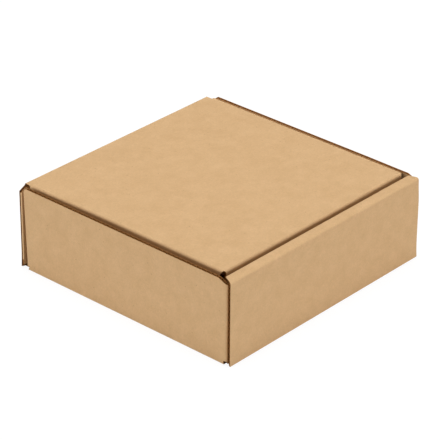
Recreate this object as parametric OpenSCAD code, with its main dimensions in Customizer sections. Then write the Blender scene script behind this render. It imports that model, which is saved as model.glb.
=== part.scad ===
// Closed mailing box of corrugated board, folded from one flat blank.
// The front wall is rolled over the front corner flaps and locks into the bottom.
// The lid is the same sheet: it folds over the back wall, and its three flaps tuck inside.
// X runs along the hinge, Y from the front wall (-) to the hinge (+), and Z up from the table.

/* [Box] */
// Outside width, along the hinge
box_w = 152; // [130:1:260]
// Outside depth, from the front wall to the hinge
box_d = 150; // [130:1:260]
// Outside height with the lid closed
box_h = 49; // [45:1:90]

/* [Board] */
// Thickness of the corrugated board
board = 1.8; // [1.4:0.1:2.4]
// Distance from one flute to the next
flute_pitch = 3.3; // [2.4:0.1:4]
// Thickness of the board's two liners
liner = 0.25; // [0.15:0.05:0.35]
// Thickness of the fluted paper between the liners
medium = 0.25; // [0.15:0.05:0.3]
// How deep the open flute ends go at the raw edges
flute_depth = 3; // [1:0.5:5]

/* [Folds] */
// Outside radius of the folds along the bottom
foot_r = 0.6; // [0.3:0.1:1.2]
// How far the front and back bottom folds end inside the side walls' outer faces
foot_inset = 2.3; // [1.8:0.1:4]
// Outside radius of a corner flap's fold
corner_r = 1.6; // [0.6:0.1:2.4]
// Outside radius of the roll-over's front crease
roll_front_r = 1.4; // [0.6:0.1:2.4]
// Outside radius of the roll-over's back crease
roll_back_r = 0.9; // [0.6:0.1:1.8]
// Outside radius of the lid's front and side folds
lid_fold_r = 1.6; // [0.8:0.1:3]
// How far the lid's folds end before its corners
lid_corner = 0.8; // [0.4:0.1:1.5]

/* [Tray] */
// Gap between a wall and the corner flap behind it
flap_gap = 0.3; // [0.2:0.1:0.6]
// Gap between a front corner flap and the inner front panel
tuck_gap = 0.9; // [0.6:0.1:1.5]
// How far a corner flap's top lies below the roll-over and the lid
flap_drop = 0.6; // [0.5:0.1:1.5]
// Length of a corner flap, from the side wall's outer face
corner_flap_l = 42; // [25:1:55]
// Slant at the free corners of a corner flap
corner_flap_slant = 5; // [2:0.5:10]
// Length of the slope at a side wall's top, where it dips under the roll-over
front_slope = 6.1; // [3:0.1:9]
// Length of the slope at a side wall's top, beside the hinge
back_slope = 2.8; // [1:0.1:6]
// How far the roll-over's left end is cut back at its inner edge
roll_cut_left = 3.4; // [2.5:0.1:7]
// How far the roll-over's right end is cut back at its inner edge
roll_cut_right = 3.4; // [3:0.1:7]
// How far the slant at the roll-over's right end reaches towards the front
roll_slant_right = 2.4; // [1:0.1:5]
// Gap between the inner front panel and a side wall
inner_side_gap = 0.6; // [0.3:0.1:1.5]
// Air under what stands on the bottom panel
foot_gap = 0.3; // [0.2:0.1:0.6]

/* [Lock tabs] */
// Width of a lock tab on the inner front panel
tab_w = 24; // [12:1:30]
// Distance of a lock tab's middle from the box's middle
tab_x = 38; // [25:1:45]
// Gap round a lock tab in its slot
slot_gap = 0.4; // [0.2:0.1:0.8]
// How far a lock tab ends above the underside
tab_short = 0.3; // [0.1:0.1:0.8]

/* [Lid] */
// Gap between the lid and the left side wall
lid_gap_left = 4.4; // [0.3:0.1:5]
// Gap between the lid and the right side wall
lid_gap_right = 0.3; // [0.3:0.1:5]
// Gap between the lid and the roll-over
lid_gap_front = 3.4; // [0.5:0.1:5]
// Gap between the lid's side flaps and the back corner flaps
lid_gap_back = 0.5; // [0.3:0.1:1.5]
// Depth of the lid's front tuck flap below the lid's top
front_flap_h = 30; // [20:1:38]
// Radius of the front tuck flap's lower corners
front_flap_r = 9; // [4:1:12]
// Slant of the front tuck flap's ends
front_flap_slant = 3; // [1:0.5:8]
// Depth of the lid's side flaps below the lid's top
side_flap_h = 26; // [16:1:38]
// Slant of the side flaps' ends
side_flap_slant = 7; // [2:0.5:15]
// Radius of the side flaps' lower corners
side_flap_r = 4; // [2:0.5:6]

/* [Hinge] */
// How far the hinge fold ends inside a side wall's outer face
hinge_cut = 4.7; // [4:0.1:8]
// How far the back wall's top corners drop
hinge_drop = 3; // [2:0.1:6]
// Gap between the back wall's rounded top and the lid's end
hinge_play = 0.25; // [0.2:0.05:0.4]
// Least gap between the front tuck flap and the inner front panel as the lid swings
swing_play = 0.25; // [0.1:0.05:0.35]

/* [Hidden] */
$fn = 64;
arc_steps = 8;
over = 1;
kraft_tray = "#c39a6b";
kraft_lid = "#cfa878";

// Outer faces of the four walls
x_side = box_w / 2;
y_front = -box_d / 2;
y_back = box_d / 2;
// The front wall is three layers thick: outer panel, corner flap, inner panel
roll_w = 3 * board + flap_gap + tuck_gap;
inner_front = y_front + roll_w;
inner_side = x_side - board - inner_side_gap;
// A corner flap backs the front or back wall, and ends below the roll-over or lid
flap_in = board + flap_gap;
flap_top = box_h - board - flap_drop;
flap_foot = board + foot_gap;
wall_end = y_back - flap_in - corner_r;
slot_w = tab_w + 2 * slot_gap;
slot_d = board + 2 * slot_gap;
// Where the level part of a side wall's top begins and ends
top_start = y_front + flap_in + front_slope;
top_end = y_back - flap_in - back_slope;
// Half widths of an open flute at its liner and at its tip
flute_foot = 0.37 * flute_pitch;
flute_tip = 0.1 * flute_pitch;
// The hinge axis lies in the middle of the back wall's rounded top
hinge_y = y_back - board / 2;
hinge_z = box_h - board / 2;
hinge_x = x_side - hinge_cut;
hinge_clear = board / 2 + hinge_play;
// The lid's folded outline, and where its flat panel begins
lid_left = -x_side + board + lid_gap_left;
lid_right = x_side - board - lid_gap_right;
lid_front = inner_front + lid_gap_front;
lid_back = y_back - flap_in - board - lid_gap_back;
panel_left = lid_left + lid_fold_r;
panel_right = lid_right - lid_fold_r;
panel_front = lid_front + lid_fold_r;
// The front tuck flap reaches nearly to the lid's corners, and the side flaps end behind it
front_flap_left = lid_left + lid_corner;
front_flap_right = lid_right - lid_corner;
side_flap_front = lid_front + board + flap_gap;
// The front tuck flap leans in just enough to swing past the inner front panel
tip_depth = front_flap_h - board / 2;
tip_reach = sqrt(pow(hinge_y - inner_front - swing_play, 2) - pow(tip_depth, 2));
front_flap_fall = front_flap_h - lid_fold_r;
lean = asin(max(0, hinge_y - lid_front - tip_reach) / front_flap_fall);
front_flap_l = (front_flap_h - lid_fold_r * (1 + sin(lean))) / cos(lean);

// Points on an arc, for the rounded corners of a flap
function arc_points(centre, r, from, to) = [
    for (i = [0:arc_steps])
        let (a = from + (to - from) * i / arc_steps)
        centre + r * [cos(a), sin(a)]
];

// Outline of a tuck flap that hangs from y = 0, with slanted ends and rounded lower corners
function flap_outline(x0, x1, depth, slant, r) = concat(
    [[x1, 0]],
    arc_points([x1 - slant - r, r - depth], r, 0, -90),
    arc_points([x0 + slant + r, r - depth], r, -90, -180),
    [[x0, 0]]
);

// Extrudes a profile drawn in Y and Z along X
module along_x(x0, x1) {
    translate([x0, 0, 0])
        rotate([90, 0, 90])
            linear_extrude(x1 - x0)
                children();
}

// Extrudes a profile drawn in X and Z along Y
module along_y(y0, y1) {
    translate([0, y1, 0])
        rotate([90, 0, 0])
            linear_extrude(y1 - y0)
                children();
}

// Section through a bend of the board, round the origin. A bend that is tighter than the board
// is thick has a sharp inner corner, where the two flat stretches beside it overlap.
module bend(outer_r, start, sweep) {
    reach = 2 * outer_r;
    difference() {
        intersection() {
            circle(outer_r);
            polygon([
                [0, 0],
                reach * [cos(start), sin(start)],
                reach * [cos(start + sweep / 2), sin(start + sweep / 2)],
                reach * [cos(start + sweep), sin(start + sweep)]
            ]);
        }
        if (outer_r > board)
            circle(outer_r - board);
    }
}

// Section of the open flutes along a raw edge: X goes through the board and Y along the edge
module flute_ends(length) {
    count = floor(length / flute_pitch);
    margin = (length - count * flute_pitch) / 2;
    half = [[0, -flute_foot], [0, flute_foot], [1, flute_tip], [1, -flute_tip]];
    reach = board - 2 * liner - medium;
    for (i = [0:1:2 * count - 1]) {
        middle = margin + (i + 0.5) * flute_pitch / 2;
        near = i % 2 == 0;
        polygon([
            for (p = half)
                [near ? liner + reach * p[0] : board - liner - reach * p[0], middle + p[1]]
        ]);
    }
}

// The bottom panel, with the two slots that the lock tabs enter
module bottom_panel() {
    difference() {
        translate([-x_side + foot_inset, y_front + foot_r, 0])
            cube([box_w - 2 * foot_inset, box_d - 2 * foot_r, board]);
        for (side = [-1, 1])
            translate([side * tab_x - slot_w / 2, inner_front - board - slot_gap, -over])
                cube([slot_w, slot_d, board + 2 * over]);
    }
}

// The slanted lower corner of a full-width wall, beyond the end of its bottom fold
module wall_ear(y0) {
    along_y(y0, y0 + board)
        polygon([
            [x_side - foot_inset, 0],
            [x_side, foot_r],
            [x_side, board],
            [x_side - foot_inset, board]
        ]);
}

// The fold that joins a wall to the bottom panel, at the front
module bottom_fold() {
    along_x(-x_side + foot_inset, x_side - foot_inset)
        translate([y_front + foot_r, foot_r])
            bend(foot_r, 180, 90);
}

// A corner flap, drawn at the front left
module corner_flap() {
    flap_y = y_front + flap_in;
    flap_end = -x_side + corner_flap_l;
    translate([0, 0, flap_foot])
        linear_extrude(flap_top - flap_foot)
            translate([-x_side + corner_r, flap_y + corner_r])
                bend(corner_r, 180, 90);
    along_y(flap_y, flap_y + board)
        polygon([
            [-x_side + corner_r, flap_foot],
            [flap_end - corner_flap_slant, flap_foot],
            [flap_end, flap_foot + corner_flap_slant],
            [flap_end, flap_top - corner_flap_slant],
            [flap_end - corner_flap_slant, flap_top],
            [-x_side + corner_r, flap_top]
        ]);
}

// Section of what is cut off a side wall's top, so that it slopes down to a corner flap
module slope_cut(slope) {
    polygon([
        [y_front, flap_top],
        [y_front + flap_in, flap_top],
        [y_front + flap_in + slope, box_h],
        [y_front + flap_in + slope, box_h + over],
        [y_front, box_h + over]
    ]);
}

// The left side wall with its bottom fold and its two corner flaps
module side_wall() {
    difference() {
        union() {
            along_y(-wall_end, wall_end) {
                translate([-x_side + foot_r, foot_r])
                    bend(foot_r, 180, 90);
                translate([-x_side, foot_r])
                    square([board, box_h - foot_r]);
                translate([-x_side + foot_r, 0])
                    square([foot_inset - foot_r, board]);
            }
            corner_flap();
            mirror([0, 1, 0])
                corner_flap();
        }
        translate([-x_side, top_start, box_h - flute_depth])
            linear_extrude(flute_depth + over)
                flute_ends(top_end - top_start);
        along_x(-x_side - over, -x_side + board + over)
            slope_cut(front_slope);
        mirror([0, 1, 0])
            along_x(-x_side - over, -x_side + board + over)
                slope_cut(back_slope);
    }
}

// Section of the front wall: the outer panel, the roll-over and the start of the inner panel
module roll_section() {
    translate([y_front, foot_r])
        square([board, box_h - foot_r - roll_front_r]);
    translate([y_front + roll_front_r, box_h - roll_front_r])
        bend(roll_front_r, 90, 90);
    translate([y_front + roll_front_r, box_h - board])
        square([roll_w - roll_front_r - roll_back_r, board]);
    translate([inner_front - roll_back_r, box_h - roll_back_r])
        bend(roll_back_r, 0, 90);
}

// What is cut off the ends of the roll-over, from above
module roll_end_cuts() {
    translate([0, 0, box_h - board])
        linear_extrude(board + over) {
            polygon([
                [-x_side - over, y_front],
                [-x_side, y_front],
                [-x_side + roll_cut_left, inner_front],
                [-x_side + roll_cut_left, inner_front + over],
                [-x_side - over, inner_front + over]
            ]);
            polygon([
                [x_side + over, inner_front - roll_slant_right],
                [x_side, inner_front - roll_slant_right],
                [x_side - roll_cut_right, inner_front],
                [x_side - roll_cut_right, inner_front + over],
                [x_side + over, inner_front + over]
            ]);
        }
}

// The open flutes at the left end of the roll-over, one above the side wall's slope
module roll_flutes(cut) {
    along_x(-x_side - over, -x_side + cut + flute_depth)
        translate([y_front + (roll_w - flute_pitch) / 2, box_h])
            rotate(-90)
                flute_ends(flute_pitch);
}

// The open flutes at the left end of the front or back wall, whose outer or inner face is at y0
module wall_flutes(y0, length) {
    along_x(-x_side - over, -x_side + flute_depth)
        translate([y0, board])
            flute_ends(length);
}

// The panel inside the front wall, which ends in the two lock tabs
module inner_panel() {
    top = box_h - roll_back_r;
    along_y(inner_front - board, inner_front) {
        polygon([
            [-inner_side, flap_foot],
            [inner_side, flap_foot],
            [inner_side, top - roll_cut_right],
            [x_side - roll_cut_right, top],
            [-x_side + roll_cut_left, top],
            [-inner_side, top - roll_cut_left]
        ]);
        for (side = [-1, 1])
            translate([side * tab_x - tab_w / 2, tab_short])
                square([tab_w, flap_foot - tab_short]);
    }
}

// The double front wall
module front_wall() {
    flute_span = box_h - 2 * board;
    difference() {
        along_x(-x_side, x_side)
            roll_section();
        roll_end_cuts();
        roll_flutes(roll_cut_left);
        mirror([1, 0, 0])
            roll_flutes(roll_cut_right);
        wall_flutes(y_front, flute_span);
        mirror([1, 0, 0])
            wall_flutes(y_front, flute_span);
    }
    inner_panel();
    bottom_fold();
    wall_ear(y_front);
    mirror([1, 0, 0])
        wall_ear(y_front);
}

// The back wall, with the rounded top that the lid turns on
module back_wall() {
    flute_span = box_h - board - hinge_drop;
    difference() {
        along_y(y_back - board, y_back)
            polygon([
                [-x_side, foot_r],
                [x_side, foot_r],
                [x_side, box_h - hinge_drop],
                [hinge_x, hinge_z],
                [-hinge_x, hinge_z],
                [-x_side, box_h - hinge_drop]
            ]);
        wall_flutes(y_back - board, flute_span);
        mirror([1, 0, 0])
            wall_flutes(y_back - board, flute_span);
    }
    along_x(-hinge_x, hinge_x)
        intersection() {
            translate([hinge_y, hinge_z])
                circle(board / 2);
            translate([y_back - board, hinge_z])
                square(board);
        }
    mirror([0, 1, 0])
        bottom_fold();
    wall_ear(y_back - board);
    mirror([1, 0, 0])
        wall_ear(y_back - board);
}

// The lid's flat panel, hollowed at its back end to turn round the back wall's top
module lid_panel() {
    difference() {
        union() {
            translate([panel_left, panel_front, box_h - board])
                cube([panel_right - panel_left, lid_back - panel_front, board]);
            translate([-hinge_x, lid_back, box_h - board])
                cube([2 * hinge_x, hinge_y - lid_back, board]);
        }
        along_x(-hinge_x - over, hinge_x + over)
            translate([hinge_y, hinge_z]) {
                circle(hinge_clear);
                translate([-hinge_clear, -board])
                    square([2 * hinge_clear, board]);
            }
    }
}

// Section of the front tuck flap and its fold, round the fold's centre
module front_flap_section() {
    bend(lid_fold_r, 90, 90 + lean);
    rotate(lean)
        translate([-lid_fold_r, -front_flap_l])
            square([board, front_flap_l]);
    translate([0, lid_fold_r - board])
        square([board, board]);
}

// The front tuck flap before its flutes are opened
module front_flap_board() {
    intersection() {
        along_x(front_flap_left, front_flap_right)
            translate([panel_front, box_h - lid_fold_r])
                front_flap_section();
        along_y(lid_front - over, inner_front + front_flap_h)
            translate([0, box_h - lid_fold_r]) {
                polygon(flap_outline(
                    front_flap_left,
                    front_flap_right,
                    front_flap_fall,
                    front_flap_slant,
                    front_flap_r
                ));
                translate([front_flap_left, 0])
                    square([front_flap_right - front_flap_left, lid_fold_r + over]);
            }
    }
}

// The open flutes at the left end of the front tuck flap, for an end that starts at x0
module front_flap_flutes(x0) {
    translate([0, panel_front, box_h - lid_fold_r])
        rotate([lean, 0, 0])
            along_x(x0 - over, x0 + front_flap_slant + flute_depth)
                translate([-lid_fold_r, front_flap_r - front_flap_l])
                    flute_ends(front_flap_l - front_flap_r);
}

// The front tuck flap with its fold
module front_flap() {
    difference() {
        front_flap_board();
        front_flap_flutes(front_flap_left);
        mirror([1, 0, 0])
            front_flap_flutes(-front_flap_right);
    }
}

// A side flap with its fold, drawn at the left for a lid whose left outer face is at face_x
module side_flap(face_x) {
    inset = side_flap_slant + side_flap_r;
    fall = side_flap_h - lid_fold_r;
    along_y(lid_front + lid_corner, lid_back)
        translate([face_x + lid_fold_r, box_h - lid_fold_r])
            bend(lid_fold_r, 90, 90);
    difference() {
        translate([face_x, 0, box_h - lid_fold_r])
            along_x(0, board)
                polygon(flap_outline(side_flap_front, lid_back, fall, side_flap_slant, side_flap_r));
        translate([face_x, side_flap_front + inset, box_h - side_flap_h - over])
            linear_extrude(flute_depth + over)
                flute_ends(lid_back - side_flap_front - 2 * inset);
    }
}

module tray() {
    color(kraft_tray)
        union() {
            bottom_panel();
            front_wall();
            back_wall();
            side_wall();
            mirror([1, 0, 0])
                side_wall();
        }
}

module lid() {
    color(kraft_lid)
        union() {
            lid_panel();
            front_flap();
            side_flap(lid_left);
            mirror([1, 0, 0])
                side_flap(-lid_right);
        }
}

tray();
lid();
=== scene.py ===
"""Looks of a closed mailing box, folded from one sheet of brown corrugated board.

The sheet is built as it was cut and creased: flat leaves with their folds, a liner on
each side, and open rims where the flutes of the middle paper show.
"""

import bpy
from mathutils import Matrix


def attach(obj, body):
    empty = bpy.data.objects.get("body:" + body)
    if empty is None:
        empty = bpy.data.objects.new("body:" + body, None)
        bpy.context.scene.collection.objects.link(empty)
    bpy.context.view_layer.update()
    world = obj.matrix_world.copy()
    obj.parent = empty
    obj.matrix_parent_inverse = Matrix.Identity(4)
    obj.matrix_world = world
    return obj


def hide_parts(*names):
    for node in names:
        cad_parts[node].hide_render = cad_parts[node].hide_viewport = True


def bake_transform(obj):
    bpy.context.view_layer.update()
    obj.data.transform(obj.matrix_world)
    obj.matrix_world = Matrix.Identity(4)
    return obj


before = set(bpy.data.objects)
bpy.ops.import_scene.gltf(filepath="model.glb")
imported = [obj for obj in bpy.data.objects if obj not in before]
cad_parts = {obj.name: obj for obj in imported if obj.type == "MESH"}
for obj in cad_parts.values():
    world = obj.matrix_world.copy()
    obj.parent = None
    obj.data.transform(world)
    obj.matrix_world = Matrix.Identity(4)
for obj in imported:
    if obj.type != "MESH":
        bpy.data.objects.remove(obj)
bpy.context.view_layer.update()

import logging
import math
from dataclasses import dataclass, field
from enum import Enum
from functools import partial
from typing import Callable, Iterable

import bmesh
import bpy
from mathutils import Matrix, Vector, noise

LOG = logging.getLogger("mailing_box")
MM = 0.001
QUARTER = math.pi / 2
# Places this close together are one: on the flat sheet in mm, and welded in metres
TOUCH = 1e-3
WELD = 6e-6
# Edges that turn by more than this (as a sine) meet in a corner, and aren't one line
CORNER = 0.35
SHARP = math.radians(35.0)
# Steps round a fold or a rounded corner
ROUND_STEPS = 8
# Node types and settings that come back often
NOISE = "ShaderNodeTexNoise"
MIX = "ShaderNodeMix"
RANGE = "ShaderNodeMapRange"
MATHS = "ShaderNodeMath"
COLOUR = {"data_type": "RGBA"}
TINT = {"data_type": "RGBA", "blend_type": "MULTIPLY"}
TIMES = {"operation": "MULTIPLY"}
WHITE = (1.0, 1.0, 1.0, 1.0)

Flat = tuple[float, float]
Point = tuple[float, float, float]
Edge = tuple[Flat, Flat]


class Plane(Enum):
    """The plane that a fold path is drawn in; the folds run along the third axis."""

    YZ = "yz"
    XZ = "xz"
    XY = "xy"


class FluteRun(Enum):
    """Which way the flutes run on a leaf: along its folds, or across them."""

    ALONG_FOLDS = "along"
    ACROSS_FOLDS = "across"


class EdgeKind(Enum):
    """How a leaf ends: a raw edge, a joint to another leaf, or a flat cap."""

    RAW = "raw"
    JOINED = "joined"
    CAP = "cap"


class BoardFace(Enum):
    """Material slots of a sheet."""

    LINER = 0
    CORE = 1


@dataclass(frozen=True)
class BoardSpec:
    """Make-up of the corrugated board, in mm.

    E-flute: two liners with a fluted paper between them, about 300 flutes a metre.
    """

    thickness: float = 1.8
    liner: float = 0.25
    paper: float = 0.2
    pitch: float = 3.3
    open_depth: float = 3.0
    crushed_depth: float = 1.6
    crushed_gap: float = 0.85
    # Edges along the flutes are cut this deep, unevenly in waves of a few millimetres
    cut_depth: float = 0.5
    cut_uneven: float = 0.3
    cut_waves: float = 180.0
    # Where the cut turned the outer liner over, and what share of the depth it left open
    burr: float = 0.3
    burred_share: float = 0.2


BOARD = BoardSpec()


@dataclass(frozen=True)
class BoxSizes:
    """Sizes of the folded box in mm.

    They are those of the part's source, with the small slants, lean and skew that the real
    sheet shows at its corners.
    """

    # The whole box, and where its bottom folds
    side: float = 76.0
    back: float = 75.0
    top: float = 49.0
    inset: float = 2.3
    foot_crease: float = 0.6
    # Corner flaps; the left rear one is folded sharper
    flap_in: float = 2.1
    corner_crease: float = 1.6
    back_slope: float = 2.8
    flap_in_left: float = 3.2
    corner_crease_left: float = 0.6
    back_slope_left: float = 1.7
    front_slope: float = 6.1
    flap_top: float = 46.6
    flap_foot: float = 2.1
    flap_length: float = 42.0
    flap_chamfer: float = 5.0
    # Roll-over and inner front panel
    roll_width: float = 6.6
    roll_front: float = 1.4
    roll_back: float = 0.9
    roll_cut: float = 3.4
    roll_slant: float = 2.4
    inner_side: float = 73.6
    tab_near: float = 26.0
    tab_far: float = 50.0
    tab_end: float = 0.3
    slot_gap: float = 0.4
    # Lid, and the spread of its left edge towards the hinge
    lid_left: float = -69.8
    lid_right: float = 73.9
    lid_front: float = -65.0
    lid_back: float = 70.6
    lid_fold: float = 1.6
    lid_inset: float = 1.85
    lid_corner: float = 0.8
    skew: float = 1.3
    skew_length: float = 60.0
    skew_from: float = 60.0
    skew_ease: float = 8.0
    # Tuck flaps
    front_flap: float = 30.0
    front_flap_slant: float = 3.0
    front_flap_round: float = 9.0
    side_flap: float = 26.0
    side_flap_slant: float = 7.0
    side_flap_round: float = 4.0
    # Hinge crease, and the tongue at its left end
    hinge_crease: float = 0.6
    hinge_half: float = 71.3
    hinge_low: float = 46.0
    hinge_high: float = 48.1
    hinge_start: float = 44.6
    tongue: float = 0.6
    tongue_out: float = 1.3
    tongue_ease: float = 1.2
    # How the walls' tops and ends sag, lean and fall short; sag_least is a share of the sag
    right_sag: float = 0.45
    sag_least: float = 0.6
    sag_from: float = 35.0
    sag_ease: float = 30.0
    lean_in: float = 1.4
    end_rise: float = 8.0
    back_short: float = 0.38
    front_short: float = 0.6
    front_lean: float = 0.9
    lean_from: float = 34.0
    lean_rise: float = 14.0
    burr_from: float = 40.0

    @property
    def wall_end(self) -> float:
        """Where a side wall's bottom fold ends, from the middle."""
        return self.back - self.flap_in - self.inset

    @property
    def wall_back(self) -> float:
        """The same at the back, where the left corner is folded sharper."""
        return self.back - self.flap_in_left - BOARD.thickness

    @property
    def side_flap_front(self) -> float:
        """Where the lid's side flaps end, behind its front flap."""
        return self.lid_front + self.flap_in

    @property
    def inner_front(self) -> float:
        """The inner front panel's face towards the goods."""
        return self.roll_width - self.back


BOX = BoxSizes()


def same(a: float, b: float) -> bool:
    """Whether two places in mm are one."""
    return abs(a - b) < TOUCH


def direction(p: Flat, q: Flat) -> Vector:
    """The direction from one flat point to another."""
    return Vector((q[0] - p[0], q[1] - p[1])).normalized()


def clamp(value: float) -> float:
    """A value held between 0 and 1."""
    return min(1.0, max(0.0, value))


def smooth(value: float) -> float:
    """Smooth step of a value, held between 0 and 1."""
    t = clamp(value)
    return t * t * (3.0 - 2.0 * t)


def spread(start: float, end: float, step: float) -> list[float]:
    """Even stations from start to end, both included, no further apart than step."""
    count = max(1, math.ceil(abs(end - start) / step - TOUCH))
    return [start + (end - start) * i / count for i in range(count + 1)]


def merged(*parts: Iterable[float]) -> list[float]:
    """One rising list of stations without doubles."""
    out: list[float] = []
    for value in sorted(v for part in parts for v in part):
        if not out or value - out[-1] > TOUCH:
            out.append(value)
    return out


@dataclass(frozen=True)
class Run:
    """A flat stretch of a fold path, in mm."""

    length: float


@dataclass(frozen=True)
class Bend:
    """A fold to the inside, by its outer radius in mm and its angle."""

    radius: float
    angle: float = QUARTER

    @property
    def length(self) -> float:
        """Length of the outer face round the fold."""
        return self.radius * self.angle


@dataclass
class FoldPath:
    """The outer face of a folded strip, drawn in one plane. All folds turn right.

    Attributes:
        plane: The plane that it is drawn in.
        start: Where it starts, in mm.
        heading: Its first direction, as an angle.
        parts: Its flat stretches and folds.
        mirror: Whether it is turned over to the other side of the box.
    """

    plane: Plane
    start: Flat
    heading: float
    parts: list[Run | Bend]
    mirror: bool = False
    stops: list[float] = field(init=False)

    def __post_init__(self) -> None:
        """Adds up where each part starts."""
        self.stops = [0.0]
        for part in self.parts:
            self.stops.append(self.stops[-1] + part.length)

    def at(self, s: float, u: float, w: float) -> Vector:
        """A point of the board.

        Args:
            s: Distance along the outer face, in mm.
            u: Place along the folds, in mm.
            w: Depth below the outer face, in mm.

        Returns:
            The point in the box's frame, in mm.
        """
        for i, part in enumerate(self.parts):
            if isinstance(part, Bend) and w > part.radius:
                # The board is thicker than the fold, so its inner face has a sharp corner
                reach = (w - part.radius) * math.tan(part.angle / 2)
                if self.stops[i] - reach < s < self.stops[i + 1] + reach:
                    return self.plain(self.stops[i] - reach, u, w)
        return self.plain(s, u, w)

    def plain(self, s: float, u: float, w: float) -> Vector:
        """A point of the board where nothing is crushed.

        Args:
            s: Distance along the outer face, in mm.
            u: Place along the folds, in mm.
            w: Depth below the outer face, in mm.

        Returns:
            The point in the box's frame, in mm.
        """
        a, b = self.start
        angle = self.heading
        for i, part in enumerate(self.parts):
            last = i == len(self.parts) - 1
            done = last or s <= self.stops[i + 1]
            # Beyond the path's first and last part it goes straight on
            step = s - self.stops[i] if done else part.length
            if isinstance(part, Bend) and step > 0:
                turn = min(step, part.length) / part.radius
                a += part.radius * (math.sin(angle) - math.sin(angle - turn))
                b += part.radius * (math.cos(angle - turn) - math.cos(angle))
                angle -= turn
                step -= min(step, part.length)
            a += step * math.cos(angle)
            b += step * math.sin(angle)
            if done:
                break
        a += w * math.sin(angle)
        b -= w * math.cos(angle)
        if self.plane is Plane.YZ:
            return Vector((u, a, b))
        if self.plane is Plane.XZ:
            return Vector((-a if self.mirror else a, u, b))
        return Vector((-a if self.mirror else a, b, u))

    def rows(self, step: float, first: int = 0, last: int | None = None) -> list[float]:
        """Stations along the path, closer together on the folds.

        Args:
            step: The most between two stations on a flat stretch.
            first: The first part.
            last: The part to stop before, if any.

        Returns:
            The stations, rising.
        """
        out: list[float] = []
        for i, part in enumerate(self.parts[first:last], start=first):
            fine = part.length / ROUND_STEPS if isinstance(part, Bend) else step
            out += spread(self.stops[i], self.stops[i + 1], fine)
        return merged(out)


@dataclass
class Leaf:
    """One stretch of the sheet, as rows of stations across a fold path.

    Attributes:
        path: The fold path that it follows.
        rows: Stations along the path.
        columns: The stations across a row, for its place on the path.
        flutes: Which way the flutes run.
        pins: Inward steps at the points where leaves meet.
        joined: Whether a border edge, by its lower and upper bounds, meets another leaf.
        capped: Whether it is closed by a flat cap. Other edges are raw.
        missing: Whether a cell, by its middle, is cut out.
        crushed: Whether the die crushed the flutes' ends at a flat point.
        open_share: How much of the full depth the flutes' ends stay open.
        burr: How far the cut turned the outer liner over the flutes at a flat point.
        warp: A small shift of a point, in mm.
    """

    path: FoldPath
    rows: list[float]
    columns: Callable[[float], list[float]]
    flutes: FluteRun
    pins: dict[Flat, Flat] = field(default_factory=dict)
    joined: Callable[[Flat, Flat], bool] = lambda low, high: False
    capped: Callable[[Flat, Flat], bool] = lambda low, high: False
    missing: Callable[[float, float], bool] = lambda s, u: False
    crushed: Callable[[Flat], bool] = lambda p: False
    open_share: float = 1.0
    burr: Callable[[Flat], float] = lambda p: 0.0
    warp: Callable[[Vector], Vector] = lambda p: p

    def point(self, flat: Flat, w: float) -> Vector:
        """A point of the folded board in metres, from its flat place and depth."""
        return self.warp(self.path.at(flat[0], flat[1], w)) * MM

    def kind(self, p: Flat, q: Flat) -> EdgeKind:
        """Says how a border edge ends.

        Args:
            p: One end of the edge.
            q: Its other end.

        Returns:
            Capped or joined, as the leaf says, or else raw.
        """
        low, high = (min(p[0], q[0]), min(p[1], q[1])), (max(p[0], q[0]), max(p[1], q[1]))
        if self.capped(low, high):
            return EdgeKind.CAP
        return EdgeKind.JOINED if self.joined(low, high) else EdgeKind.RAW

    def flute_direction(self) -> Vector:
        """The flutes' direction on the flat leaf."""
        return Vector((0, 1)) if self.flutes is FluteRun.ALONG_FOLDS else Vector((1, 0))

    def blank(self, flat: Flat) -> Flat:
        """UV of a flat point in metres: U along the flutes, V across them."""
        s, u = flat
        along = self.flutes is FluteRun.ALONG_FOLDS
        return (u * MM, s * MM) if along else (s * MM, u * MM)


@dataclass
class FluteEdge:
    """A raw edge across the flutes, as the line that the wavy paper follows.

    Attributes:
        points: Points at mid thickness, in metres.
        across: Unit vectors through the board.
        inward: Steps from the edge into the board, in metres.
        run: Distance along the edge, in metres.
        dark: How much painted shade the inner end gets, from 0 to 1.
    """

    points: list[Vector] = field(default_factory=list)
    across: list[Vector] = field(default_factory=list)
    inward: list[Vector] = field(default_factory=list)
    run: list[float] = field(default_factory=list)
    dark: list[float] = field(default_factory=list)


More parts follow.
